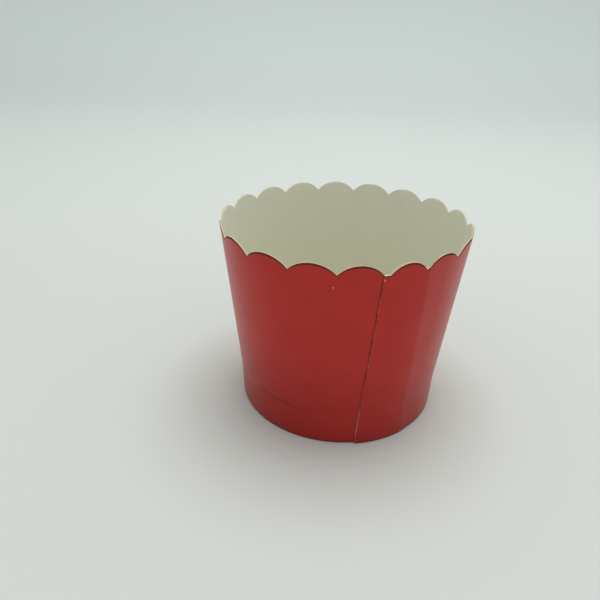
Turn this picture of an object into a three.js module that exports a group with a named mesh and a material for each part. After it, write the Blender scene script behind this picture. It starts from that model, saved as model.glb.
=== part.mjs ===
// A baking cup of foil-laminated paper: a conical wall with a scalloped edge,
// closed by a glued overlap, and a recessed base disc held by the wall's folded foot.
// Millimetres, +Z up. The origin is the middle of the ring that the cup stands on.
// Angles run round the cup from the front (-Y) towards the right (+X).
import * as THREE from "three";

// Overall shape, outside sizes
const cupHeight = 46; // floor to the tips of the scallops
const mouthRadius = 28.6; // at the tips of the scallops
const neckRadius = 24.7; // where the wall bends, level with the base
const footRadius = 24.4; // at the floor
const baseHeight = 8; // floor to the top of the base disc
const mouthSqueeze = 0.3; // how far the mouth is pressed in across the overlap
const squeezeAngle = 31; // degrees, the direction that the squeeze comes from

// Sheets and the play between them
const sheetThickness = 0.3; // foil-laminated paper of the wall
const boardThickness = 0.4; // plain paper board of the base disc
const fitGap = 0.15; // play on each face of the base's skirt, and under it

// Scalloped edge
const scallopCount = 18;
const scallopDepth = 2.2; // tip to valley
const seamFlat = 1.3; // straight edge beside the overlap's cut end
// The scallops crowd to the right of the overlap and spread again behind it.
// Pairs of: share of the way round the edge, share of the scallops passed by there.
const scallopSpacing = [[0, 0], [0.0995, 0.1111], [0.2185, 0.2222], [0.4967, 0.5], [0.892, 0.8889], [1, 1]];

// Glued overlap
const hiddenEndAngle = 38.5; // degrees, the covered end of the sheet
const overlapWidth = 11; // from the covered end back to the visible one
const overlapFade = 5; // width in which the outer layer settles back
const cutEdgeRun = 0.06; // how far a cut end leans over its own thickness

// Folded foot and base disc
const hemHeight = 6.2; // floor to the hem's cut edge
const foldRadius = 0.45; // outside radius of the two bends at the floor
const skirtBendRadius = 0.4; // inside radius between the disc and its skirt

// Steps of the faceted surfaces
const stepsPerScallop = 8;
const stepsPerFade = 4;
const stepsPerBend = 2;
const baseSteps = 72;

const fullTurn = 2 * Math.PI;
const footThickness = 2 * sheetThickness + boardThickness + 2 * fitGap;
const bendRadius = Math.min(foldRadius, 0.45 * footThickness);
const overlapAtMouth = overlapWidth / mouthRadius;
const cutEdgeAngle = cutEdgeRun / mouthRadius;
const fadeAngle = overlapFade / mouthRadius;
const flatAngle = seamFlat / mouthRadius;
const scallopPitch = (fullTurn - flatAngle) / scallopCount;

// Outside radius of a single layer of the wall, before it is squeezed.
function wallRadius(z) {
  if (z < baseHeight) {
    return THREE.MathUtils.mapLinear(z, 0, baseHeight, footRadius, neckRadius);
  }
  return THREE.MathUtils.mapLinear(z, baseHeight, cupHeight, neckRadius, mouthRadius);
}

// Radial shift of the squeezed wall: none at the base, full at the mouth.
function squeezeShift(angle, z) {
  const share = Math.max(0, (z - baseHeight) / (cupHeight - baseHeight));
  const fromSqueeze = angle - THREE.MathUtils.degToRad(squeezeAngle);
  return -mouthSqueeze * share * Math.cos(2 * fromSqueeze);
}

// A column is an angle at the mouth, counted from the overlap's visible end.
// The overlap keeps its width down the cone, so columns lean as they go down.
function columnAngle(column, z) {
  const hiddenEnd = THREE.MathUtils.degToRad(hiddenEndAngle);
  const overlapHere = overlapWidth / wallRadius(z);
  if (column <= overlapAtMouth) {
    return hiddenEnd + overlapHere * (column / overlapAtMouth - 1);
  }
  const spread = (fullTurn - overlapHere) / (fullTurn - overlapAtMouth);
  return hiddenEnd + (column - overlapAtMouth) * spread;
}

// Turns a share of the way round into a share of the scallops, or back.
function respaced(share, from, to) {
  const within = THREE.MathUtils.clamp(share, 0, 1);
  const next = Math.max(1, scallopSpacing.findIndex((pair) => pair[from] >= within));
  const [before, after] = [scallopSpacing[next - 1], scallopSpacing[next]];
  return THREE.MathUtils.mapLinear(within, before[from], after[from], before[to], after[to]);
}

// Columns at both cut ends, down the fade, and round every scallop.
function wallColumns() {
  const fadeStart = overlapAtMouth + cutEdgeAngle;
  const columns = [0, cutEdgeAngle, overlapAtMouth, fadeStart];
  for (let step = 1; step <= stepsPerFade; step++) {
    columns.push(fadeStart + (fadeAngle * step) / stepsPerFade);
  }
  const fixed = [...columns, fullTurn];
  const isClear = (column) => fixed.every((other) => Math.abs(column - other) > cutEdgeAngle);
  const steps = scallopCount * stepsPerScallop;
  for (let step = 0; step < steps; step++) {
    const column = flatAngle + respaced(step / steps, 1, 0) * (fullTurn - flatAngle);
    if (isClear(column)) columns.push(column);
  }
  return columns.sort((a, b) => a - b);
}

// Height of the cut edge: one arc to a scallop, level along the flat beside the seam.
function edgeHeight(column) {
  const chord = scallopPitch * mouthRadius;
  const arcRadius = (chord ** 2 / 4 + scallopDepth ** 2) / (2 * scallopDepth);
  const passed = respaced((column - flatAngle) / (fullTurn - flatAngle), 0, 1) * scallopCount;
  const fromTip = ((passed % 1) - 0.5) * chord;
  return cupHeight - arcRadius + Math.sqrt(Math.max(0, arcRadius ** 2 - fromTip ** 2));
}

// How far a layer stands off after the covered end: one sheet, easing to nothing.
function fadeAfterHiddenEnd(column) {
  const share = (column - overlapAtMouth - cutEdgeAngle) / fadeAngle;
  return (sheetThickness * (1 + Math.cos(Math.PI * THREE.MathUtils.clamp(share, 0, 1)))) / 2;
}

// The outside stands one sheet proud from the visible end to past the covered end.
function outsideLift(column) {
  if (column < cutEdgeAngle) return 0;
  return fadeAfterHiddenEnd(column);
}

// The inside steps out by one sheet where the covered end stops.
function insideRelief(column) {
  if (column < overlapAtMouth + cutEdgeAngle) return 0;
  return fadeAfterHiddenEnd(column);
}

function ringPoint(column, z, inset) {
  const angle = columnAngle(column, z);
  const radius = wallRadius(z) + squeezeShift(angle, z) - inset;
  return new THREE.Vector3(radius * Math.sin(angle), -radius * Math.cos(angle), z);
}

// A bend of the folded foot, as [inset, height] pairs that run down and inwards,
// or up and inwards again, round a centre one bend radius above the floor.
function footBend(centreInset, fromAngle, lift) {
  const pairs = [];
  for (let step = 0; step <= stepsPerBend; step++) {
    const angle = fromAngle + (step * Math.PI) / 2 / stepsPerBend;
    const inset = centreInset - bendRadius * Math.cos(angle) - lift;
    pairs.push([inset, bendRadius * (1 - Math.sin(angle))]);
  }
  return pairs;
}

// One section of the wall, clockwise from the outer edge of the rim:
// down the outside, round the foot, up and down the hem, and up the inside.
function wallSection(column) {
  const lift = outsideLift(column);
  const relief = insideRelief(column);
  const rim = edgeHeight(column);
  const shoulder = cupHeight - 2 * scallopDepth;
  const hemInset = footThickness;
  const pairs = [
    [-lift, rim],
    [-lift, shoulder],
    [-lift, baseHeight],
    ...footBend(bendRadius, 0, lift),
    ...footBend(hemInset - bendRadius, Math.PI / 2, -lift),
    [hemInset + lift, hemHeight],
    [hemInset - sheetThickness, hemHeight],
    [hemInset - sheetThickness, sheetThickness],
    [sheetThickness - relief, sheetThickness],
    [sheetThickness - relief, baseHeight],
    [sheetThickness - relief, shoulder],
    [sheetThickness - relief, rim],
  ];
  return pairs.map(([inset, z]) => ringPoint(column, z, inset));
}

// Joins closed sections of equal length into a closed ring.
function ringGeometry(sections) {
  const length = sections[0].length;
  const index = [];
  sections.forEach((_, i) => {
    const next = (i + 1) % sections.length;
    for (let j = 0; j < length; j++) {
      const below = (j + 1) % length;
      const corners = [i * length + j, i * length + below, next * length + below, next * length + j];
      index.push(corners[0], corners[1], corners[2], corners[0], corners[2], corners[3]);
    }
  });
  const geometry = new THREE.BufferGeometry().setFromPoints(sections.flat());
  geometry.setIndex(index);
  geometry.computeVertexNormals();
  return geometry;
}

function sideWall() {
  const foil = new THREE.MeshStandardMaterial({ color: 0x9c2f2a, roughness: 0.38, metalness: 0.85 });
  const mesh = new THREE.Mesh(ringGeometry(wallColumns().map(wallSection)), foil);
  mesh.name = "side_wall";
  return mesh;
}

// Outside radius of the base's skirt, which stands inside the wall's foot.
function skirtRadius(z) {
  return wallRadius(z) - sheetThickness - fitGap;
}

// Quarter bend between the disc and its skirt, from the disc outwards and down.
function skirtBend(radius) {
  const centreHeight = baseHeight - boardThickness - skirtBendRadius;
  const centreRadius = skirtRadius(centreHeight) - boardThickness - skirtBendRadius;
  const points = [];
  for (let step = 0; step <= stepsPerBend; step++) {
    const angle = (step * Math.PI) / 2 / stepsPerBend;
    const across = centreRadius + radius * Math.sin(angle);
    points.push(new THREE.Vector2(across, centreHeight + radius * Math.cos(angle)));
  }
  return points;
}

// A flat disc with its rim turned down into a skirt, which the hem clamps to the wall.
function baseDisc() {
  const skirtBottom = sheetThickness + fitGap;
  const outer = skirtRadius(skirtBottom);
  const profile = [
    new THREE.Vector2(0, baseHeight - boardThickness),
    ...skirtBend(skirtBendRadius),
    new THREE.Vector2(outer - boardThickness, skirtBottom),
    new THREE.Vector2(outer, skirtBottom),
    ...skirtBend(skirtBendRadius + boardThickness).reverse(),
    new THREE.Vector2(0, baseHeight),
  ];
  const paper = new THREE.MeshStandardMaterial({ color: 0xd2cfae, roughness: 0.85, metalness: 0 });
  const geometry = new THREE.LatheGeometry(profile, baseSteps);
  geometry.rotateX(Math.PI / 2);
  const mesh = new THREE.Mesh(geometry, paper);
  mesh.name = "base_disc";
  return mesh;
}

const bakingCup = new THREE.Group();
bakingCup.name = "baking_cup";
bakingCup.add(sideWall(), baseDisc());

export default bakingCup;
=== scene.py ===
"""Dresses the baking cup: foil laminate outside, cream paper inside, a glued overlap and a board base."""

import math

import bpy
from mathutils import Matrix, Vector


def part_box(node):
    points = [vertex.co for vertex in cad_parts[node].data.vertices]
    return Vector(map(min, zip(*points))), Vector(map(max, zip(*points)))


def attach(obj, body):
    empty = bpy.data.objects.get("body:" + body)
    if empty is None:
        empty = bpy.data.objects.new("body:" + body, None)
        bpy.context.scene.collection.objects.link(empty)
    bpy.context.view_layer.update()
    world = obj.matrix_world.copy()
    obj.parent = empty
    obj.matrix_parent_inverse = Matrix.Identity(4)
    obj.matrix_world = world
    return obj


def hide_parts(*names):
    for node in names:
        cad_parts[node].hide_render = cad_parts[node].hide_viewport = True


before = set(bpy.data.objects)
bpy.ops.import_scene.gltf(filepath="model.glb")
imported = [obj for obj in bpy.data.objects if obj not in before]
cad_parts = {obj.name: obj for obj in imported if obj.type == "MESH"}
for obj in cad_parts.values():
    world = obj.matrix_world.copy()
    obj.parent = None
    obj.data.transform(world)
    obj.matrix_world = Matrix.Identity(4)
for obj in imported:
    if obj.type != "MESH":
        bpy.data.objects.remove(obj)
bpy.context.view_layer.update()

# Sizes of the cup, in metres, as in the solids
MM = 0.001
CUP_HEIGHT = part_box("side_wall")[1].z
BASE_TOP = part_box("base_disc")[1].z
MOUTH_RADIUS = 28.6 * MM
NECK_RADIUS = 24.7 * MM
FOOT_RADIUS = 24.4 * MM
SHEET = 0.3 * MM
BOARD = 0.4 * MM
FIT_GAP = 0.15 * MM
HEM_HEIGHT = 6.2 * MM
FOLD_RADIUS = 0.45 * MM
FOOT_THICKNESS = 2 * SHEET + BOARD + 2 * FIT_GAP
WALL_SLOPE = (MOUTH_RADIUS - NECK_RADIUS) / (CUP_HEIGHT - BASE_TOP)
MOUTH_SQUEEZE = 0.3 * MM
SQUEEZE_ANGLE = math.radians(31)

# Scalloped edge
SCALLOPS = 18
SCALLOP_DEPTH = 2.2 * MM
SEAM_FLAT = 1.3 * MM
STEPS_PER_SCALLOP = 22
# Rows of the wall above the shoulder follow the scallops, and those below it are level
SHOULDER = CUP_HEIGHT - 2 * SCALLOP_DEPTH
# Pairs of: share of the way round the edge, share of the scallops passed by there
SCALLOP_SPACING = (
    (0, 0),
    (0.0453, 0.0556),
    (0.1013, 0.1111),
    (0.2182, 0.2222),
    (0.4966, 0.5),
    (0.662, 0.6667),
    (0.8932, 0.8889),
    (0.9486, 0.9444),
    (1, 1),
)

# The overlap's covered end and its width at the mouth, and what both gain down to the base
HIDDEN_END = math.radians(36.5)
HIDDEN_END_LEAN = math.radians(2.2)
OVERLAP_WIDTH = 10 * MM
OVERLAP_WIDENING = 1.15 * MM
OVERLAP_FADE = 5 * MM

# The wall's first columns step up at the overlap's visible end: on the layer below, on the loose
# end's underside where it starts and at the cut, and on top of the cut
SEAM_COLUMNS = 4

# What the finish of each strip of the wall is called in its attribute
# The pressed finish is painted dark as shade: on the curled top edge, round the foot's fold and in the
# rim's line
FOIL, PAPER, CUT_EDGE, PRESSED_FOIL_SHADE = 0, 1, 2, 3

# Small chips in the lacquer: angle from the front, height, radius
LACQUER_CHIPS = (
    (math.radians(-3.1), 41.2 * MM, 0.10 * MM),
    (math.radians(7.1), 40.0 * MM, 0.05 * MM),
    (math.radians(-52.2), 41.6 * MM, 0.10 * MM),
    (math.radians(16.6), 42.9 * MM, 0.16 * MM),
)

# Line pressed into the wall by the base's edge: from and to angle, fall in height, half width
PRESS_START = math.radians(-46)
PRESS_END = math.radians(-20)
PRESS_DROP = 0.85 * MM
PRESS_WIDTH = 0.19 * MM
# Share of its length at which it would reach down to the base's level
PRESS_LEVEL = 1.4

MATH = "ShaderNodeMath"
MAP_RANGE = "ShaderNodeMapRange"
MIX = "ShaderNodeMix"
NOISE = "ShaderNodeTexNoise"
SPLIT = "ShaderNodeSeparateXYZ"
COORDINATES = "ShaderNodeTexCoord"
SHADER = "ShaderNodeBsdfPrincipled"
OUTPUT = "ShaderNodeOutputMaterial"
SAMPLE = "GeometryNodeSampleIndex"
SET_MATERIAL = "GeometryNodeSetMaterial"


# Nodes and colours

def add(tree, kind, inputs=(), **settings):
    """Adds a node with its settings.

    Inputs go by order, or by name in a dict. A node or socket is linked, and a value is set.
    """
    node = tree.nodes.new(kind)
    for name, value in settings.items():
        setattr(node, name, value)
    if not isinstance(inputs, dict):
        open_sockets = [index for index, socket in enumerate(node.inputs) if socket.enabled]
        inputs = dict(zip(open_sockets, inputs))
    for key, value in inputs.items():
        if isinstance(value, bpy.types.Node):
            value = next(socket for socket in value.outputs if socket.enabled)
        if isinstance(value, bpy.types.NodeSocket):
            tree.links.new(value, node.inputs[key])
        else:
            node.inputs[key].default_value = value
    return node


def linear(code):
    """An sRGB hex colour such as B03A35 as linear red, green, blue and full alpha."""
    shares = [int(code[i : i + 2], 16) / 255 for i in (0, 2, 4)]
    return [c / 12.92 if c <= 0.04045 else ((c + 0.055) / 1.055) ** 2.4 for c in shares] + [1.0]


def new_material(name):
    """An empty node material and its tree."""
    material = bpy.data.materials.new(name)
    material.use_nodes = True
    material.node_tree.nodes.clear()
    return material, material.node_tree


# Materials

def with_chips(tree, place, colour):
    """A colour with small pale chips, where the lacquer has come off."""
    chip_depth = 0.1 * MM
    fade = 1.6
    for angle, height, radius in LACQUER_CHIPS:
        reach = wall_radius(height) - chip_depth
        spot = (reach * math.sin(angle), -reach * math.cos(angle), height)
        away = add(tree, "ShaderNodeVectorMath", (place, spot), operation="DISTANCE")
        chip = add(tree, MAP_RANGE, (away, radius, fade * radius, 1, 0))
        colour = add(tree, MIX, (chip, colour, linear("D8B0A6")), data_type="RGBA")
    return colour


def crush_and_shade_line(tree, place):
    """How far the foil is crushed and painted dark as the line's shade at a place, up to 1 on the line that
    the base's edge pressed into it.

    The line is faint at its right end, and fades out there.
    """
    core = 0.7 * PRESS_WIDTH
    fade = PRESS_WIDTH
    start_share = 0.12
    fade_share = 0.7
    strength = 0.7
    x, y, z = add(tree, SPLIT, (place,)).outputs
    front = add(tree, MATH, (y, -1), operation="MULTIPLY")
    angle = add(tree, MATH, (x, front), operation="ARCTAN2")
    along = add(tree, MAP_RANGE, (angle, PRESS_START, PRESS_END, 0, 1))
    fall = add(tree, MATH, (along, PRESS_LEVEL), operation="SUBTRACT")
    level = add(tree, MATH, (fall, PRESS_DROP, z), operation="MULTIPLY_ADD")
    off_line = add(tree, MATH, (level, BASE_TOP), operation="SUBTRACT")
    distance = add(tree, MATH, (off_line,), operation="ABSOLUTE")
    line = add(tree, MAP_RANGE, (distance, core, core + fade, 1, 0))
    start = add(tree, MAP_RANGE, (along, 0, start_share, 0, 1))
    fading = add(tree, MAP_RANGE, (along, fade_share, 1, strength, 0))
    length = add(tree, MATH, (start, fading), operation="MULTIPLY")
    return add(tree, MATH, (line, length), operation="MULTIPLY")


def foil_laminate():
    """Aluminium foil under clear red lacquer, bonded to paper: a satin metal with the paper's grain."""
    material, tree = new_material("red_foil_laminated_paper")
    place = add(tree, COORDINATES).outputs["Object"]
    # Single fibres, about 0.03 mm wide, are too fine to show, so the grain is drawn coarser
    grain_size, mottle_size = 0.9 * MM, 7 * MM
    fibre_grain = {"Scale": 1 / grain_size, "Detail": 3.0, "Roughness": 0.6}
    fibre = add(tree, NOISE, {"Vector": place, **fibre_grain})
    mottle = add(tree, NOISE, {"Vector": place, "Scale": 1 / mottle_size, "Detail": 2.0})
    lacquer_red = add(tree, MIX, (mottle, linear("B1302C"), linear("BD3933")), data_type="RGBA")
    chipped = with_chips(tree, place, lacquer_red)
    crush_and_shade = crush_and_shade_line(tree, place)
    # Painted shade: the foil turns dark red and loses its coat along the press line
    colour = add(tree, MIX, (crush_and_shade, chipped, linear("7A1C14")), data_type="RGBA")
    coat = add(tree, MAP_RANGE, (crush_and_shade, 0, 1, 0.2, 0))
    rough = add(tree, MAP_RANGE, {"Value": fibre, "To Min": 0.34, "To Max": 0.46})
    grain = add(tree, "ShaderNodeBump", {"Strength": 0.25, "Distance": 0.03 * MM, "Height": fibre})
    foil = {"Base Color": colour, "Metallic": 1.0, "Roughness": rough, "Normal": grain}
    lacquer = {"Coat Weight": coat, "Coat Roughness": 0.25, "Coat Normal": grain}
    shader = add(tree, SHADER, {**foil, **lacquer})
    add(tree, OUTPUT, {"Surface": shader})
    return material


def pressed_foil_painted_shade():
    """Foil and lacquer crushed by the cutting die: a duller line along the scallops, painted dark brown as
    the shade where the edge curls and where the foot's fold turns under.
    """
    material, tree = new_material("die_pressed_foil_painted_shade")
    break_size = 1.5 * MM
    place = add(tree, COORDINATES).outputs["Object"]
    breaks = add(tree, NOISE, {"Vector": place, "Scale": 1 / break_size, "Detail": 2.0})
    # Painted shade: dark browns for the curled, crushed edge and the fold
    colour = add(tree, MIX, (breaks, linear("5C2A1D"), linear("743527")), data_type="RGBA")
    shader = add(tree, SHADER, {"Base Color": colour, "Roughness": 0.8, "Specular IOR Level": 0.1})
    add(tree, OUTPUT, {"Surface": shader})
    return material


def seam_cut_edge():
    """Cut end of the laminate: stained by the lacquer and painted dark as the seam's shade, and bare pale
    paper where it lifts at the foot.
    """
    material, tree = new_material("knife_cut_laminate_end")
    bare_below = 7 * MM
    stain_and_shade_above = 12 * MM
    fleck_size = 0.6 * MM
    fleck_start, fleck_full, fleck_strength = 0.52, 0.64, 0.6
    place = add(tree, COORDINATES).outputs["Object"]
    height = add(tree, SPLIT, (place,)).outputs["Z"]
    span = (height, bare_below, stain_and_shade_above, 1, 0)
    bare = add(tree, MAP_RANGE, span, interpolation_type="SMOOTHSTEP")
    grain = add(tree, NOISE, {"Vector": place, "Scale": 1 / fleck_size, "Detail": 2.0})
    flecks = add(tree, MAP_RANGE, (grain, fleck_start, fleck_full, 0, fleck_strength))
    pale = add(tree, MATH, (bare, flecks), operation="MAXIMUM")
    # The dark red is lacquer stain and painted seam shade, and the pale is the bare paper core
    colour = add(tree, MIX, (pale, linear("9E463B"), linear("E4C0AE")), data_type="RGBA")
    shader = add(tree, SHADER, {"Base Color": colour, "Roughness": 0.8})
    add(tree, OUTPUT, {"Surface": shader})
    return material


def greaseproof_paper(name, light, dark):
    """Uncoated greaseproof paper: matt, slightly green cream, with faint cloudy fibre flocks."""
    material, tree = new_material(name)
    place = add(tree, COORDINATES).outputs["Object"]
    # Single fibres, about 0.03 mm wide, are too fine to show, so the grain is drawn coarser
    flock_size, grain_size = 2.2 * MM, 0.5 * MM
    flocks = add(tree, NOISE, {"Vector": place, "Scale": 1 / flock_size, "Detail": 4.0})
    fibre = add(tree, NOISE, {"Vector": place, "Scale": 1 / grain_size, "Detail": 2.0})
    colour = add(tree, MIX, (flocks, linear(dark), linear(light)), data_type="RGBA")
    grain = add(tree, "ShaderNodeBump", {"Strength": 0.3, "Distance": 0.03 * MM, "Height": fibre})
    shader = add(tree, SHADER, {"Base Color": colour, "Roughness": 0.85, "Normal": grain})
    add(tree, OUTPUT, {"Surface": shader})
    return material


# The side wall's section

def wall_radius(z):
    """Outside radius of one layer of the wall at a height."""
    if z < BASE_TOP:
        return FOOT_RADIUS + (NECK_RADIUS - FOOT_RADIUS) * z / BASE_TOP
    return NECK_RADIUS + WALL_SLOPE * (z - BASE_TOP)


def foot_bend(centre_radius, start_angle):
    """Points of a quarter bend at the floor, as (radius, height), running inwards as the angle grows."""
    steps = 5
    points = []
    for step in range(steps + 1):
        angle = start_angle + step / steps * math.pi / 2
        points.append((centre_radius + FOLD_RADIUS * math.cos(angle), FOLD_RADIUS * (1 - math.sin(angle))))
    return points


def spaced(start, end, steps):
    """Heights from start up to but without end, evenly spaced."""
    return [start + (end - start) * step / steps for step in range(steps)]


def wall_section():
    """The wall's section as rows of radius, height, lift share, relief share, undercut share and finish.

    It runs down the inside, round the hem and the foot's fold, and up the outside.
    The finish is that of the strip between a row and the next.
    """
    edge_bevel = 0.02 * MM
    pressed_bevel = 0.09 * MM
    pressed_shade_edge = CUP_HEIGHT - 0.45 * MM
    inside_edge = CUP_HEIGHT - edge_bevel

    # Down the inside
    rows = [(wall_radius(CUP_HEIGHT) - SHEET, inside_edge, 0, 1, 0, PAPER)]
    inside = [SHEET, 2 * MM, 5 * MM] + spaced(BASE_TOP - MM, BASE_TOP + MM, 4)
    inside += spaced(BASE_TOP + MM, SHOULDER, 18) + spaced(SHOULDER, inside_edge, 8)
    rows += [(wall_radius(z) - SHEET, z, 0, 1, 0, PAPER) for z in reversed(inside)]

    # Up the hem's back, over its cut edge and down its face
    foot_top = 2 * FOLD_RADIUS
    hem_back = ((SHEET, PAPER), (2 * MM, PAPER), (4 * MM, PAPER), (HEM_HEIGHT, CUT_EDGE))
    rows += [(wall_radius(z) - FOOT_THICKNESS + SHEET, z, 0, 0, 0, finish) for z, finish in hem_back]
    hem_face = (HEM_HEIGHT, 5 * MM, 3.5 * MM, 2 * MM, foot_top)
    rows += [(wall_radius(z) - FOOT_THICKNESS, z, -1, 0, 0, FOIL) for z in hem_face]

    # Round the fold, whose outer bend is crushed and gets the dark pressed finish as painted shade
    inner_bend = foot_bend(FOOT_RADIUS - FOOT_THICKNESS + FOLD_RADIUS, math.pi / 2)
    rows += [(r, z, -1, 0, 0, FOIL) for r, z in reversed(inner_bend)]
    bend_top, *outer_bend = foot_bend(FOOT_RADIUS - FOLD_RADIUS, 0)
    rows += [(r, z, 1, 0, 0, PRESSED_FOIL_SHADE) for r, z in reversed(outer_bend)]
    rows.append((*bend_top, 1, 0, 0, FOIL))

    # Up the outside, with more rows where the base's edge presses its line
    press_bottom, press_top = BASE_TOP - 1.5 * MM, BASE_TOP + 1.5 * MM
    rising = spaced(foot_top, press_bottom, 8) + spaced(press_bottom, press_top, 30)
    rising += spaced(press_top, SHOULDER, 24) + spaced(SHOULDER, pressed_shade_edge, 8)
    valley = CUP_HEIGHT - SCALLOP_DEPTH
    undercut_fade = 2 * MM
    for z in rising + [pressed_shade_edge, CUP_HEIGHT - pressed_bevel]:
        undercut = min(1, max(0, (valley - z) / undercut_fade), z / undercut_fade)
        # The top strip under the scallops' edge gets the dark pressed finish, painted shade where the edge
        # curls
        finish = FOIL if z < pressed_shade_edge else PRESSED_FOIL_SHADE
        rows.append((wall_radius(z), z, 1, 0, undercut, finish))

    # Over the rim, where the foil between the overlap's two layers shows as a line in the dark pressed
    # finish, whose darkness is painted shade
    rim = wall_radius(CUP_HEIGHT) - pressed_bevel
    line_share = 0.3
    line_width = 0.01 * MM
    rows.append((rim, CUP_HEIGHT, 1, 0, 0, CUT_EDGE))
    rows.append((rim, CUP_HEIGHT, line_share, 0, 0, PRESSED_FOIL_SHADE))
    rows.append((rim - line_width, CUP_HEIGHT, 0, 0, 0, CUT_EDGE))
    rows.append((wall_radius(CUP_HEIGHT) - SHEET + edge_bevel, CUP_HEIGHT, 0, 1, 0, CUT_EDGE))
    return rows


def section_object(rows):
    """A mesh of the section's points, in the XZ plane, with what each row follows as attributes."""
    mesh = bpy.data.meshes.new("wall_section")
    mesh.from_pydata([(r, 0, z) for r, z, *_ in rows], [], [])
    rules = mesh.attributes.new("rules", "FLOAT_VECTOR", "POINT")
    rules.data.foreach_set("vector", [share for row in rows for share in row[2:5]])
    finish = mesh.attributes.new("finish", "INT", "POINT")
    finish.data.foreach_set("value", [row[5] for row in rows])
    return bpy.data.objects.new("side_wall_foil", mesh)


# The side wall's sweep round the cup

def scallops_passed(share):
    """Turns a share of the way round the edge into the share of the scallops passed by there."""
    for (x0, y0), (x1, y1) in zip(SCALLOP_SPACING, SCALLOP_SPACING[1:]):
        if share <= x1:
            return y0 + (y1 - y0) * (share - x0) / (x1 - x0)
    return 1


OVERLAP_SHARE = (OVERLAP_WIDTH - SEAM_FLAT) / (math.tau * MOUTH_RADIUS - SEAM_FLAT)
WALL_INPUTS = {
    "Cup height": CUP_HEIGHT,
    "Base height": BASE_TOP,
    "Shoulder height": SHOULDER,
    "Wall slope": WALL_SLOPE,
    "Mouth radius": MOUTH_RADIUS,
    "Sheet": SHEET,
    "Scallops": SCALLOPS,
    "Steps per scallop": STEPS_PER_SCALLOP,
    "Scallop depth": SCALLOP_DEPTH,
    "Seam flat": SEAM_FLAT,
    "Hidden end angle": HIDDEN_END,
    "Hidden end lean": HIDDEN_END_LEAN,
    "Overlap width": OVERLAP_WIDTH,
    "Overlap widening": OVERLAP_WIDENING,
    "Covered end step": round(scallops_passed(OVERLAP_SHARE) * SCALLOPS * STEPS_PER_SCALLOP),
    "Overlap fade": OVERLAP_FADE,
    "Overlap flattening": 0.16 * MM,
    "Seam gap": 0.02 * MM,
    "Seam lift at foot": 0.1 * MM,
    "Seam lift height": 7 * MM,
    "Seam wander": 0.27 * MM,
    "Seam wander height": 2.7 * MM,
    "Seam wander reach": 1.6 * MM,
    "Seam undercut": 0.3 * MM,
    "Cut edge run": 0.03 * MM,
    "Mouth squeeze": MOUTH_SQUEEZE,
    "Squeeze angle": SQUEEZE_ANGLE,
    "Press line depth": 0.1 * MM,
    "Press line width": PRESS_WIDTH,
    "Press line recovery": 1.6 * MM,
    "Press line start": PRESS_START,
    "Press line end": PRESS_END,
    "Press line drop": PRESS_DROP,
    "Rim rise at back": 0.25 * MM,
    "Rim drop at right": 0.11 * MM,
    "Rim saddle": 0.135 * MM,
    "Waviness": 0.10 * MM,
    "Wave length": 16 * MM,
    "Seed": 4.0,
}


def bell(tree, offset):
    """A bell curve: 1 where the offset is 0, and next to nothing past 2."""
    squared = add(tree, MATH, (offset, offset), operation="MULTIPLY")
    minus = add(tree, MATH, (squared, -1), operation="MULTIPLY")
    return add(tree, MATH, (minus,), operation="EXPONENT")


def wall_grid(tree, steps, rows):
    """A grid with a column for each step round the cup and a row for each point of the section.

    Returns it with the column and the row of each of its points.
    """
    points_up = add(tree, MATH, (rows, 1), operation="ADD")
    columns = add(tree, MATH, (steps, SEAM_COLUMNS), operation="ADD")
    points_round = add(tree, MATH, (columns, 1), operation="ADD")
    grid = add(tree, "GeometryNodeMeshGrid", (1, 1, points_round, points_up)).outputs["Mesh"]
    index = add(tree, "GeometryNodeInputIndex")
    column_share = add(tree, MATH, (index, points_up), operation="DIVIDE")
    open_column = add(tree, MATH, (column_share,), operation="FLOOR")
    column = add(tree, MATH, (open_column, columns), operation="MODULO")
    open_row = add(tree, MATH, (index, points_up), operation="MODULO")
    row = add(tree, MATH, (open_row, rows), operation="MODULO")
    return grid, column, row


def angle_round_edge(tree, steps_share, flat, rest_of_turn):
    """Angle at the mouth past the flat beside the seam, where the scallops are unevenly spaced."""
    round_share = 0
    for (x0, y0), (x1, y1) in zip(SCALLOP_SPACING, SCALLOP_SPACING[1:]):
        stretch = add(tree, MAP_RANGE, (steps_share, y0, y1, 0, x1 - x0))
        round_share = add(tree, MATH, (stretch, round_share), operation="ADD")
    return add(tree, MATH, (round_share, rest_of_turn, flat), operation="MULTIPLY_ADD")


def angle_at_seam(tree, size, column, flat, lift_share, undercut_share):
    """Angle at the mouth of the seam's own columns.

    On the foil's rows they stand at the visible end, the first two cut back under it.
    On the other rows they spread over the flat beside it.
    """
    undercut = add(tree, MATH, (size["Seam undercut"], size["Mouth radius"]), operation="DIVIDE")
    under_angle = add(tree, MATH, (undercut, undercut_share), operation="MULTIPLY")
    is_under = add(tree, MATH, (column, 1.5), operation="LESS_THAN")
    foil_angle = add(tree, MATH, (under_angle, is_under), operation="MULTIPLY")
    flat_step = add(tree, MATH, (flat, SEAM_COLUMNS), operation="DIVIDE")
    paper_angle = add(tree, MATH, (column, flat_step), operation="MULTIPLY")
    on_paper = add(tree, MATH, (lift_share, 0, 0.5), operation="COMPARE")
    return add(tree, MIX, (on_paper, foil_angle, paper_angle))


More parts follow.
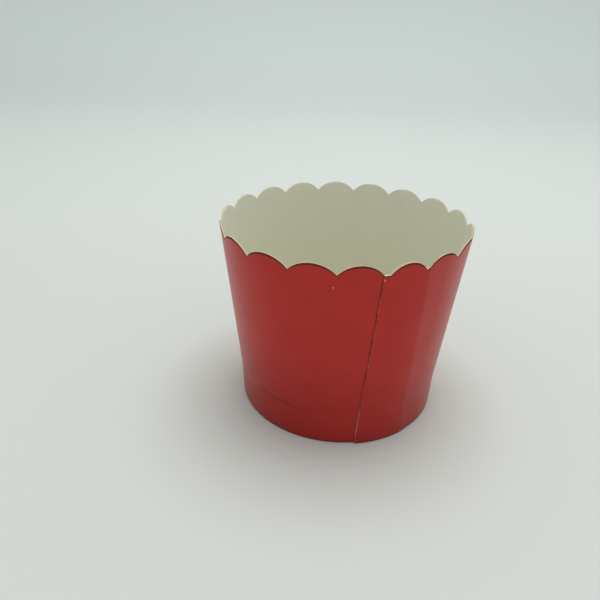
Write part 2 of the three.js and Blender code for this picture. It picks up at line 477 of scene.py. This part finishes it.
def leaning_angle(tree, size, turn, overlap, back_share, radius, height):
    """Angle from the front of a column at a height.

    The overlap widens a little down the cone, so columns lean as they go down. Its visible end
    wanders near the foot.
    """
    down_share = add(tree, MAP_RANGE, (height, size["Base height"], size["Cup height"], 1, 0))
    widening = (down_share, size["Overlap widening"], size["Overlap width"])
    even_width = add(tree, MATH, widening, operation="MULTIPLY_ADD")
    lean = (down_share, size["Hidden end lean"], size["Hidden end angle"])
    hidden_end = add(tree, MATH, lean, operation="MULTIPLY_ADD")
    from_wander = add(tree, MATH, (height, size["Seam wander height"]), operation="SUBTRACT")
    wander_offset = add(tree, MATH, (from_wander, size["Seam wander reach"]), operation="DIVIDE")
    wander = bell(tree, wander_offset)
    width_here = add(tree, MATH, (wander, size["Seam wander"], even_width), operation="MULTIPLY_ADD")
    overlap_here = add(tree, MATH, (width_here, radius), operation="DIVIDE")
    overlap_angle = add(tree, MATH, (back_share, overlap_here, hidden_end), operation="MULTIPLY_ADD")
    beyond = add(tree, MATH, (turn, overlap), operation="SUBTRACT")
    rest_turn = add(tree, MATH, (beyond, 0), operation="MAXIMUM")
    room_here = add(tree, MATH, (math.tau, overlap_here), operation="SUBTRACT")
    room_at_mouth = add(tree, MATH, (math.tau, overlap), operation="SUBTRACT")
    spread = add(tree, MATH, (room_here, room_at_mouth), operation="DIVIDE")
    return add(tree, MATH, (rest_turn, spread, overlap_angle), operation="MULTIPLY_ADD")


def scalloped(tree, size, steps_past, rest_of_turn, radius, height):
    """Radius and height under the scallops: each is an arc, and the rows above the shoulder follow it."""
    pitch = add(tree, MATH, (rest_of_turn, size["Scallops"]), operation="DIVIDE")
    chord = add(tree, MATH, (pitch, size["Mouth radius"]), operation="MULTIPLY")
    half_chord = add(tree, MATH, (chord, 0.5), operation="MULTIPLY")
    half_squared = add(tree, MATH, (half_chord, half_chord), operation="MULTIPLY")
    half_over_depth = add(tree, MATH, (half_squared, size["Scallop depth"]), operation="DIVIDE")
    twice_radius = add(tree, MATH, (half_over_depth, size["Scallop depth"]), operation="ADD")
    arc_radius = add(tree, MATH, (twice_radius, 0.5), operation="MULTIPLY")
    arc_squared = add(tree, MATH, (arc_radius, arc_radius), operation="MULTIPLY")
    scallop_number = add(tree, MATH, (steps_past, size["Steps per scallop"]), operation="DIVIDE")
    scallop_share = add(tree, MATH, (scallop_number,), operation="FRACT")
    from_tip = add(tree, MATH, (scallop_share, 0.5), operation="SUBTRACT")
    across = add(tree, MATH, (from_tip, chord), operation="MULTIPLY")
    across_squared = add(tree, MATH, (across, across), operation="MULTIPLY")
    arc_height_squared = add(tree, MATH, (arc_squared, across_squared), operation="SUBTRACT")
    arc_height = add(tree, MATH, (arc_height_squared,), operation="SQRT")
    drop = add(tree, MATH, (arc_radius, arc_height), operation="SUBTRACT")
    rise = add(tree, MAP_RANGE, (height, size["Shoulder height"], size["Cup height"], 0, 1))
    row_drop = add(tree, MATH, (drop, rise), operation="MULTIPLY")
    new_height = add(tree, MATH, (height, row_drop), operation="SUBTRACT")
    drop_inwards = add(tree, MATH, (row_drop, size["Wall slope"]), operation="MULTIPLY")
    cone_radius = add(tree, MATH, (radius, drop_inwards), operation="SUBTRACT")
    return cone_radius, new_height


def fade_past_end(tree, size, turn, overlap_end):
    """Share of a sheet by which the layers still stand apart: 1 on the overlap, easing to 0 past it."""
    fade_width = add(tree, MATH, (size["Overlap fade"], size["Mouth radius"]), operation="DIVIDE")
    fade_end = add(tree, MATH, (overlap_end, fade_width), operation="ADD")
    even_fade = add(tree, MAP_RANGE, (turn, overlap_end, fade_end, 1, 0))
    return add(tree, MATH, (even_fade, even_fade), operation="MULTIPLY")


def seam_gap(tree, size, turn, flat, overlap, height):
    """Gap under the loose visible end, which closes across the overlap and is wider at the foot."""
    smooth = {"interpolation_type": "SMOOTHSTEP"}
    foot_loose = add(tree, MAP_RANGE, (height, 0, size["Seam lift height"], 1, 0), **smooth)
    foot_gap = add(tree, MATH, (foot_loose, size["Seam lift at foot"]), operation="MULTIPLY")
    gap = add(tree, MATH, (foot_gap, size["Seam gap"]), operation="ADD")
    near_seam = add(tree, MAP_RANGE, (turn, flat, overlap, 1, 0), **smooth)
    return add(tree, MATH, (gap, near_seam), operation="MULTIPLY")


def layer_shift(tree, size, column, end_column, gap, fade, shares):
    """How far a layer stands outwards, for the row's shares of the lift and of the relief.

    The outside is lifted by the gap and the sheet below it. The inside steps out where the
    covered end stops.
    """
    lift_share, relief_share = shares
    above_gap = add(tree, MATH, (column, 0.5), operation="GREATER_THAN")
    above_sheet = add(tree, MATH, (column, 2.5), operation="GREATER_THAN")
    gap_step = add(tree, MATH, (above_gap, gap), operation="MULTIPLY")
    lift_steps = add(tree, MATH, (above_sheet, size["Sheet"], gap_step), operation="MULTIPLY_ADD")
    faded_lift = add(tree, MATH, (lift_steps, fade), operation="MULTIPLY")
    lift = add(tree, MATH, (faded_lift, lift_share), operation="MULTIPLY")
    past_end = add(tree, MATH, (column, end_column), operation="GREATER_THAN")
    relief_step = add(tree, MATH, (past_end, size["Sheet"]), operation="MULTIPLY")
    faded_relief = add(tree, MATH, (relief_step, fade), operation="MULTIPLY")
    return add(tree, MATH, (faded_relief, relief_share, lift), operation="MULTIPLY_ADD")


def mouth_bend(tree, size, overlap_share, back_share, squeeze_wave, up_share):
    """The double layer springs flatter, and the mouth is pressed in across it."""
    flat_profile = add(tree, MATH, (overlap_share, back_share), operation="MULTIPLY")
    flat_depth = add(tree, MATH, (size["Overlap flattening"], 4), operation="MULTIPLY")
    flattening = add(tree, MATH, (flat_profile, flat_depth), operation="MULTIPLY")
    squeeze = add(tree, MATH, (squeeze_wave, size["Mouth squeeze"]), operation="MULTIPLY")
    bent = add(tree, MATH, (flattening, squeeze), operation="SUBTRACT")
    return add(tree, MATH, (bent, up_share), operation="MULTIPLY")


def rim_rise(tree, size, sine, cosine, squeeze_wave):
    """The rim is a little higher at the back and along the squeeze, and lower at the right."""
    back_share = add(tree, MAP_RANGE, (cosine, 1, -1, 0, 1))
    back_rise = add(tree, MATH, (back_share, size["Rim rise at back"]), operation="MULTIPLY")
    saddle = (squeeze_wave, size["Rim saddle"], back_rise)
    saddle_rise = add(tree, MATH, saddle, operation="MULTIPLY_ADD")
    right_drop = add(tree, MATH, (sine, size["Rim drop at right"]), operation="MULTIPLY")
    return add(tree, MATH, (saddle_rise, right_drop), operation="SUBTRACT")


def slow_waves(tree, size, sine, minus_cosine, height, up_share):
    """Slow waves of the paper, in and out, which are strongest at the mouth."""
    x = add(tree, MATH, (sine, size["Mouth radius"]), operation="MULTIPLY")
    y = add(tree, MATH, (minus_cosine, size["Mouth radius"]), operation="MULTIPLY")
    place = add(tree, "ShaderNodeCombineXYZ", (x, y, height))
    scale = add(tree, MATH, (1, size["Wave length"]), operation="DIVIDE")
    pattern = {"Vector": place, "W": size["Seed"], "Scale": scale, "Detail": 1.0}
    wave = add(tree, NOISE, pattern, noise_dimensions="4D")
    sided = add(tree, MATH, (wave, 0.5), operation="SUBTRACT")
    depth = add(tree, MATH, (size["Waviness"], up_share), operation="MULTIPLY")
    return add(tree, MATH, (sided, depth), operation="MULTIPLY")


def press_line(tree, size, angle, height):
    """Depth of the line that the base's edge pressed into the wall.

    It slopes down to the right as it fades, and the wall recovers slowly below it. It lies to the
    left of the front, where angles have come a full turn round.
    """
    smooth = {"interpolation_type": "SMOOTHSTEP"}
    start_share = 0.15
    fade_share = 0.6
    left_angle = add(tree, MATH, (angle, math.tau), operation="SUBTRACT")
    ends = (left_angle, size["Press line start"], size["Press line end"], 0, 1)
    along = add(tree, MAP_RANGE, ends)
    start = add(tree, MAP_RANGE, (along, 0, start_share, 0, 1), **smooth)
    fading = add(tree, MAP_RANGE, (along, fade_share, 1, 1, 0), **smooth)
    window = add(tree, MATH, (start, fading), operation="MULTIPLY")
    fall = add(tree, MATH, (along, PRESS_LEVEL), operation="SUBTRACT")
    level = add(tree, MATH, (fall, size["Press line drop"], height), operation="MULTIPLY_ADD")
    off_line = add(tree, MATH, (level, size["Base height"]), operation="SUBTRACT")
    above = add(tree, MATH, (off_line, size["Press line width"]), operation="DIVIDE")
    under = add(tree, MATH, (off_line, size["Press line recovery"]), operation="DIVIDE")
    below = add(tree, MATH, (under, -1), operation="MULTIPLY")
    offset = add(tree, MATH, (above, below), operation="MAXIMUM")
    shape = add(tree, MATH, (bell(tree, offset), window), operation="MULTIPLY")
    return add(tree, MATH, (shape, size["Press line depth"]), operation="MULTIPLY")


def strips_of_finish(tree, section, rows, end_column, finishes):
    """Pairs of a choice of faces and the finish that they get, foil left out.

    Cut ends show the sheet's core, and the loose end's underside is paper.
    """
    paper, cut_edge, pressed_shade_foil, seam_edge = finishes
    index = add(tree, "GeometryNodeInputIndex")
    column_share = add(tree, MATH, (index, rows), operation="DIVIDE")
    column = add(tree, MATH, (column_share,), operation="FLOOR")
    row = add(tree, MATH, (index, rows), operation="MODULO")
    finish_name = add(tree, "GeometryNodeInputNamedAttribute", ("finish",), data_type="INT")
    finish = add(tree, SAMPLE, (section, finish_name, row), data_type="INT")
    is_foil = add(tree, MATH, (finish, FOIL, 0.5), operation="COMPARE")
    is_paper = add(tree, MATH, (finish, PAPER, 0.5), operation="COMPARE")
    is_core = add(tree, MATH, (finish, CUT_EDGE, 0.5), operation="COMPARE")
    # Pressed faces get the dark finish that is painted shade
    is_pressed_shade = add(tree, MATH, (finish, PRESSED_FOIL_SHADE, 0.5), operation="COMPARE")
    under_strips = add(tree, MATH, (column, 1.5), operation="LESS_THAN")
    underside = add(tree, MATH, (under_strips, is_foil), operation="MULTIPLY")
    visible_cut = add(tree, MATH, (column, 2, 0.5), operation="COMPARE")
    visible_core = add(tree, MATH, (visible_cut, is_foil), operation="MULTIPLY")
    covered_cut = add(tree, MATH, (column, end_column, 0.5), operation="COMPARE")
    covered_core = add(tree, MATH, (covered_cut, is_paper), operation="MULTIPLY")
    paper_faces = add(tree, MATH, (is_paper, underside), operation="ADD")
    core_faces = add(tree, MATH, (is_core, covered_core), operation="ADD")
    choices = (paper_faces, core_faces, is_pressed_shade, visible_core)
    return zip(choices, (paper, cut_edge, pressed_shade_foil, seam_edge))


def wall_tree(foil, *other_finishes):
    """Sweeps the section round the cup, with its scallops, overlap, squeeze, press line and waves."""
    tree = bpy.data.node_groups.new("scalloped_wall", "GeometryNodeTree")
    tree.interface.new_socket(name="Section", in_out="INPUT", socket_type="NodeSocketGeometry")
    for name in WALL_INPUTS:
        tree.interface.new_socket(name=name, in_out="INPUT", socket_type="NodeSocketFloat")
    tree.interface.new_socket(name="Wall", in_out="OUTPUT", socket_type="NodeSocketGeometry")
    size = tree.nodes.new("NodeGroupInput").outputs
    section = size["Section"]

    # The grid, and what the section says at each of its rows
    rows = add(tree, "GeometryNodeAttributeDomainSize", (section,)).outputs["Point Count"]
    steps = add(tree, MATH, (size["Scallops"], size["Steps per scallop"]), operation="MULTIPLY")
    grid, column, row = wall_grid(tree, steps, rows)
    position = add(tree, "GeometryNodeInputPosition")
    spot = add(tree, SAMPLE, (section, position, row), data_type="FLOAT_VECTOR")
    rules_name = add(tree, "GeometryNodeInputNamedAttribute", ("rules",), data_type="FLOAT_VECTOR")
    rules = add(tree, SAMPLE, (section, rules_name, row), data_type="FLOAT_VECTOR")
    radius, _, height = add(tree, SPLIT, (spot,)).outputs
    lift_share, relief_share, undercut_share = add(tree, SPLIT, (rules,)).outputs
    up_share = add(tree, MAP_RANGE, (height, size["Base height"], size["Cup height"], 0, 1))

    # Where a column stands at the mouth, as an angle from the overlap's visible end
    flat = add(tree, MATH, (size["Seam flat"], size["Mouth radius"]), operation="DIVIDE")
    rest_of_turn = add(tree, MATH, (math.tau, flat), operation="SUBTRACT")
    past_seam = add(tree, MATH, (column, SEAM_COLUMNS), operation="SUBTRACT")
    steps_share = add(tree, MATH, (past_seam, steps), operation="DIVIDE")
    edge_angle = angle_round_edge(tree, steps_share, flat, rest_of_turn)
    seam_angle = angle_at_seam(tree, size, column, flat, lift_share, undercut_share)
    is_seam = add(tree, MATH, (column, SEAM_COLUMNS - 0.5), operation="LESS_THAN")
    near_angle = add(tree, MIX, (is_seam, edge_angle, seam_angle))

    # Two columns stand together at the covered end, one on each side of its cut
    overlap = add(tree, MATH, (size["Overlap width"], size["Mouth radius"]), operation="DIVIDE")
    cut_run = add(tree, MATH, (size["Cut edge run"], size["Mouth radius"]), operation="DIVIDE")
    overlap_end = add(tree, MATH, (overlap, cut_run), operation="ADD")
    end_column = add(tree, MATH, (size["Covered end step"], SEAM_COLUMNS), operation="ADD")
    next_column = add(tree, MATH, (end_column, 1), operation="ADD")
    is_end = add(tree, MATH, (column, end_column, 0.5), operation="COMPARE")
    is_next = add(tree, MATH, (column, next_column, 0.5), operation="COMPARE")
    with_end = add(tree, MIX, (is_end, near_angle, overlap))
    turn = add(tree, MIX, (is_next, with_end, overlap_end))

    # Where it stands at its height, and the outwards direction there
    inside_turn = add(tree, MATH, (turn, overlap), operation="MINIMUM")
    overlap_share = add(tree, MATH, (inside_turn, overlap), operation="DIVIDE")
    back_share = add(tree, MATH, (overlap_share, 1), operation="SUBTRACT")
    angle = leaning_angle(tree, size, turn, overlap, back_share, radius, height)
    sine = add(tree, MATH, (angle,), operation="SINE")
    cosine = add(tree, MATH, (angle,), operation="COSINE")
    minus_cosine = add(tree, MATH, (cosine, -1), operation="MULTIPLY")
    from_squeeze = add(tree, MATH, (angle, size["Squeeze angle"]), operation="SUBTRACT")
    twice_angle = add(tree, MATH, (from_squeeze, 2), operation="MULTIPLY")
    squeeze_wave = add(tree, MATH, (twice_angle,), operation="COSINE")

    # Its height and radius, from the scallops, the two layers and the bends of the paper
    same_step = add(tree, MATH, (past_seam, is_next), operation="SUBTRACT")
    steps_past = add(tree, MATH, (same_step, 0), operation="MAXIMUM")
    cone_radius, new_height = scalloped(tree, size, steps_past, rest_of_turn, radius, height)
    rise = rim_rise(tree, size, sine, cosine, squeeze_wave)
    raised_height = add(tree, MATH, (rise, up_share, new_height), operation="MULTIPLY_ADD")
    gap = seam_gap(tree, size, turn, flat, overlap, height)
    fade = fade_past_end(tree, size, turn, overlap_end)
    layers = layer_shift(tree, size, column, end_column, gap, fade, (lift_share, relief_share))
    bend = mouth_bend(tree, size, overlap_share, back_share, squeeze_wave, up_share)
    waves = slow_waves(tree, size, sine, minus_cosine, height, up_share)
    bent = add(tree, MATH, (waves, bend), operation="ADD")
    press_depth = press_line(tree, size, angle, height)
    press = add(tree, MATH, (press_depth, lift_share), operation="MULTIPLY")
    pressed = add(tree, MATH, (bent, press), operation="SUBTRACT")
    shift = add(tree, MATH, (pressed, layers), operation="ADD")
    new_radius = add(tree, MATH, (cone_radius, shift), operation="ADD")

    # The swept wall, closed and finished: what has no finish of its own is foil
    x = add(tree, MATH, (new_radius, sine), operation="MULTIPLY")
    y = add(tree, MATH, (new_radius, minus_cosine), operation="MULTIPLY")
    place = add(tree, "ShaderNodeCombineXYZ", (x, y, raised_height))
    wall = add(tree, "GeometryNodeSetPosition", {"Geometry": grid, "Position": place})
    for faces, finish in strips_of_finish(tree, section, rows, end_column, other_finishes):
        wall = add(tree, SET_MATERIAL, {"Geometry": wall, "Selection": faces, "Material": finish})
    weld_distance = 0.002 * MM
    closed = add(tree, "GeometryNodeMergeByDistance", {"Geometry": wall, "Distance": weld_distance})
    real = add(tree, "GeometryNodeRealizeInstances", {"Geometry": closed})
    finish_index = add(tree, "GeometryNodeInputMaterialIndex")
    unfinished = add(tree, MATH, (finish_index, 0, 0.5), operation="COMPARE")
    rest = {"Geometry": real, "Selection": unfinished, "Material": foil}
    finished = add(tree, SET_MATERIAL, rest)
    result = tree.nodes.new("NodeGroupOutput")
    tree.links.new(finished.outputs[0], result.inputs["Wall"])
    return tree


def grown(source, tree, sizes, sharp_angle):
    """Runs a geometry tree on an object and returns the result as a plain mesh object.

    The grid that the tree starts from brings an empty first material slot, which goes.
    """
    bpy.context.scene.collection.objects.link(source)
    modifier = source.modifiers.new("shape", "NODES")
    modifier.node_group = tree
    for item in tree.interface.items_tree:
        if item.item_type == "SOCKET" and item.in_out == "INPUT" and item.name in sizes:
            modifier[item.identifier] = float(sizes[item.name])
    bpy.context.view_layer.update()
    evaluated = source.evaluated_get(bpy.context.evaluated_depsgraph_get())
    mesh = bpy.data.meshes.new_from_object(evaluated)
    source.modifiers.clear()
    source.data = mesh
    mesh.materials.pop(index=0)
    mesh.shade_smooth()
    mesh.set_sharp_from_angle(angle=sharp_angle)
    return source


def make_side_wall(*finishes):
    """The wall, its overlap, its scalloped edge and its hem, as one closed sheet."""
    sharp_angle = math.radians(40)
    section = section_object(wall_section())
    wall = grown(section, wall_tree(*finishes), WALL_INPUTS, sharp_angle)
    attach(wall, "root")
    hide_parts("side_wall")
    return wall


# The base disc

def base_profile():
    """The base's section from its centre out and back, as radius, height and share of the pleats' depth."""
    bend = 0.4 * MM
    bend_steps = 5
    pressed_gap = 0.03 * MM
    skirt_bottom = SHEET + FIT_GAP
    skirt_pleats = 0.4
    bend_height = BASE_TOP - BOARD - bend
    outer = [wall_radius(z) - SHEET - pressed_gap for z in (skirt_bottom, bend_height)]
    centre = outer[1] - BOARD - bend
    far = BOARD + bend
    turns = [step / bend_steps * math.pi / 2 for step in range(bend_steps + 1)]
    top = [(centre * share, BASE_TOP, 0) for share in (0.4, 0.7, 0.85, 0.95)]
    over = [(centre + far * math.sin(t), bend_height + far * math.cos(t), 1) for t in turns]
    skirt = [(r, skirt_bottom, skirt_pleats) for r in (outer[0], outer[0] - BOARD)]
    back = [(centre + bend * math.sin(t), bend_height + bend * math.cos(t), 1) for t in reversed(turns)]
    under = [(centre * share, BASE_TOP - BOARD, 0) for share in (0.95, 0.7, 0.4)]
    return top + over + skirt + back + under


def make_base_disc(board):
    """The base: a flat disc with a turned-down skirt, whose board gathers in shallow pleats at the bend."""
    pleats = 60
    pleat_depth = 0.06 * MM
    around = 6 * pleats
    sharp_angle = math.radians(50)
    profile = base_profile()
    points = [(0, 0, BASE_TOP)]
    for step in range(around):
        angle = step / around * math.tau
        wave = pleat_depth * (math.cos(pleats * angle) - 1) / 2
        for r, z, share in profile:
            reach = r + wave * share
            points.append((reach * math.sin(angle), -reach * math.cos(angle), z))
    last = len(points)
    points.append((0, 0, BASE_TOP - BOARD))
    count = len(profile)
    faces = []
    for step in range(around):
        here, there = 1 + step * count, 1 + (step + 1) % around * count
        faces.append((0, here, there))
        faces += [(here + i, here + i + 1, there + i + 1, there + i) for i in range(count - 1)]
        faces.append((last, there + count - 1, here + count - 1))
    mesh = bpy.data.meshes.new("base_disc_board")
    mesh.from_pydata(points, [], faces)
    mesh.materials.append(board)
    mesh.shade_smooth()
    mesh.set_sharp_from_angle(angle=sharp_angle)
    disc = bpy.data.objects.new("base_disc_board", mesh)
    bpy.context.scene.collection.objects.link(disc)
    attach(disc, "root")
    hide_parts("base_disc")
    return disc


# Stage, camera and light

def make_floor():
    """A pale matt sweep: a floor that curves up into a slightly lighter backdrop far behind the cup."""
    material, tree = new_material("pale_matt_sweep")
    place = add(tree, COORDINATES).outputs["Object"]
    depth = add(tree, SPLIT, (place,)).outputs["Y"]
    tint_start, tint_end = 0.05, 0.7
    behind = add(tree, MAP_RANGE, (depth, tint_start, tint_end, 0, 1))
    tint = add(tree, MIX, (behind, linear("D1D4CF"), linear("E8F0EE")), data_type="RGBA")
    shader = add(tree, SHADER, {"Base Color": tint, "Roughness": 0.9})
    add(tree, OUTPUT, {"Surface": shader})
    half_width = 1.5
    front, bend_start, bend_radius, wall_top = -1.2, 0.5, 0.5, 1.6
    bend_steps = 12
    profile = [(front, 0), (bend_start, 0)]
    for step in range(1, bend_steps + 1):
        angle = step / bend_steps * math.pi / 2
        profile.append((bend_start + bend_radius * math.sin(angle), bend_radius * (1 - math.cos(angle))))
    profile.append((bend_start + bend_radius, wall_top))
    points = [(x, y, z) for y, z in profile for x in (-half_width, half_width)]
    faces = [(2 * i, 2 * i + 1, 2 * i + 3, 2 * i + 2) for i in range(len(profile) - 1)]
    mesh = bpy.data.meshes.new("sweep")
    mesh.from_pydata(points, [], faces)
    mesh.materials.append(material)
    mesh.shade_smooth()
    sweep = bpy.data.objects.new("sweep", mesh)
    bpy.context.scene.collection.objects.link(sweep)


def make_camera():
    """The viewpoint: above and in front of the cup, looking down on it, with a slight roll."""
    distance, height = 121.6 * MM, 87.1 * MM
    look_down = math.radians(27.5)
    look_left = math.radians(4.75)
    roll_left = math.radians(1.35)
    data = bpy.data.cameras.new("camera")
    data.sensor_width = 36
    data.lens = 33
    data.clip_start, data.clip_end = 0.01, 10
    camera = bpy.data.objects.new("camera", data)
    turn = Matrix.Rotation(look_left, 4, "Z")
    tilt = Matrix.Rotation(math.pi / 2 - look_down, 4, "X")
    roll = Matrix.Rotation(roll_left, 4, "Z")
    camera.matrix_world = Matrix.Translation((0, -distance, height)) @ turn @ tilt @ roll
    bpy.context.scene.collection.objects.link(camera)
    bpy.context.scene.camera = camera


def make_light():
    """Even light from all round, and one large soft lamp above, behind and to the right."""
    world = bpy.data.worlds.new("soft_room")
    world.use_nodes = True
    tree = world.node_tree
    tree.nodes.clear()
    shade = add(tree, "ShaderNodeBackground", {"Color": linear("F2F5F4"), "Strength": 0.66})
    add(tree, "ShaderNodeOutputWorld", {"Surface": shade})
    bpy.context.scene.world = world
    lamp = bpy.data.lights.new("soft_lamp", "AREA")
    lamp.shape = "DISK"
    lamp.size = 0.45
    lamp.energy = 2.1
    holder = bpy.data.objects.new("soft_lamp", lamp)
    holder.location = (0.04, 0.09, 0.6)
    target = Vector((0, 0, 0.02))
    holder.rotation_euler = (target - holder.location).to_track_quat("-Z", "Y").to_euler()
    bpy.context.scene.collection.objects.link(holder)


make_camera()
make_light()
make_floor()
foil_material = foil_laminate()
paper_material = greaseproof_paper("cream_greaseproof_paper", "DEDDCC", "D8D7C5")
board_material = greaseproof_paper("cream_base_board", "DCDAC2", "D5D2B9")
edge_material = greaseproof_paper("cut_paper_edge", "DFCFB6", "D2C0A6")
make_side_wall(foil_material, paper_material, edge_material, pressed_foil_painted_shade(), seam_cut_edge())
make_base_disc(board_material)

bpy.context.scene.view_settings.view_transform = "Standard"
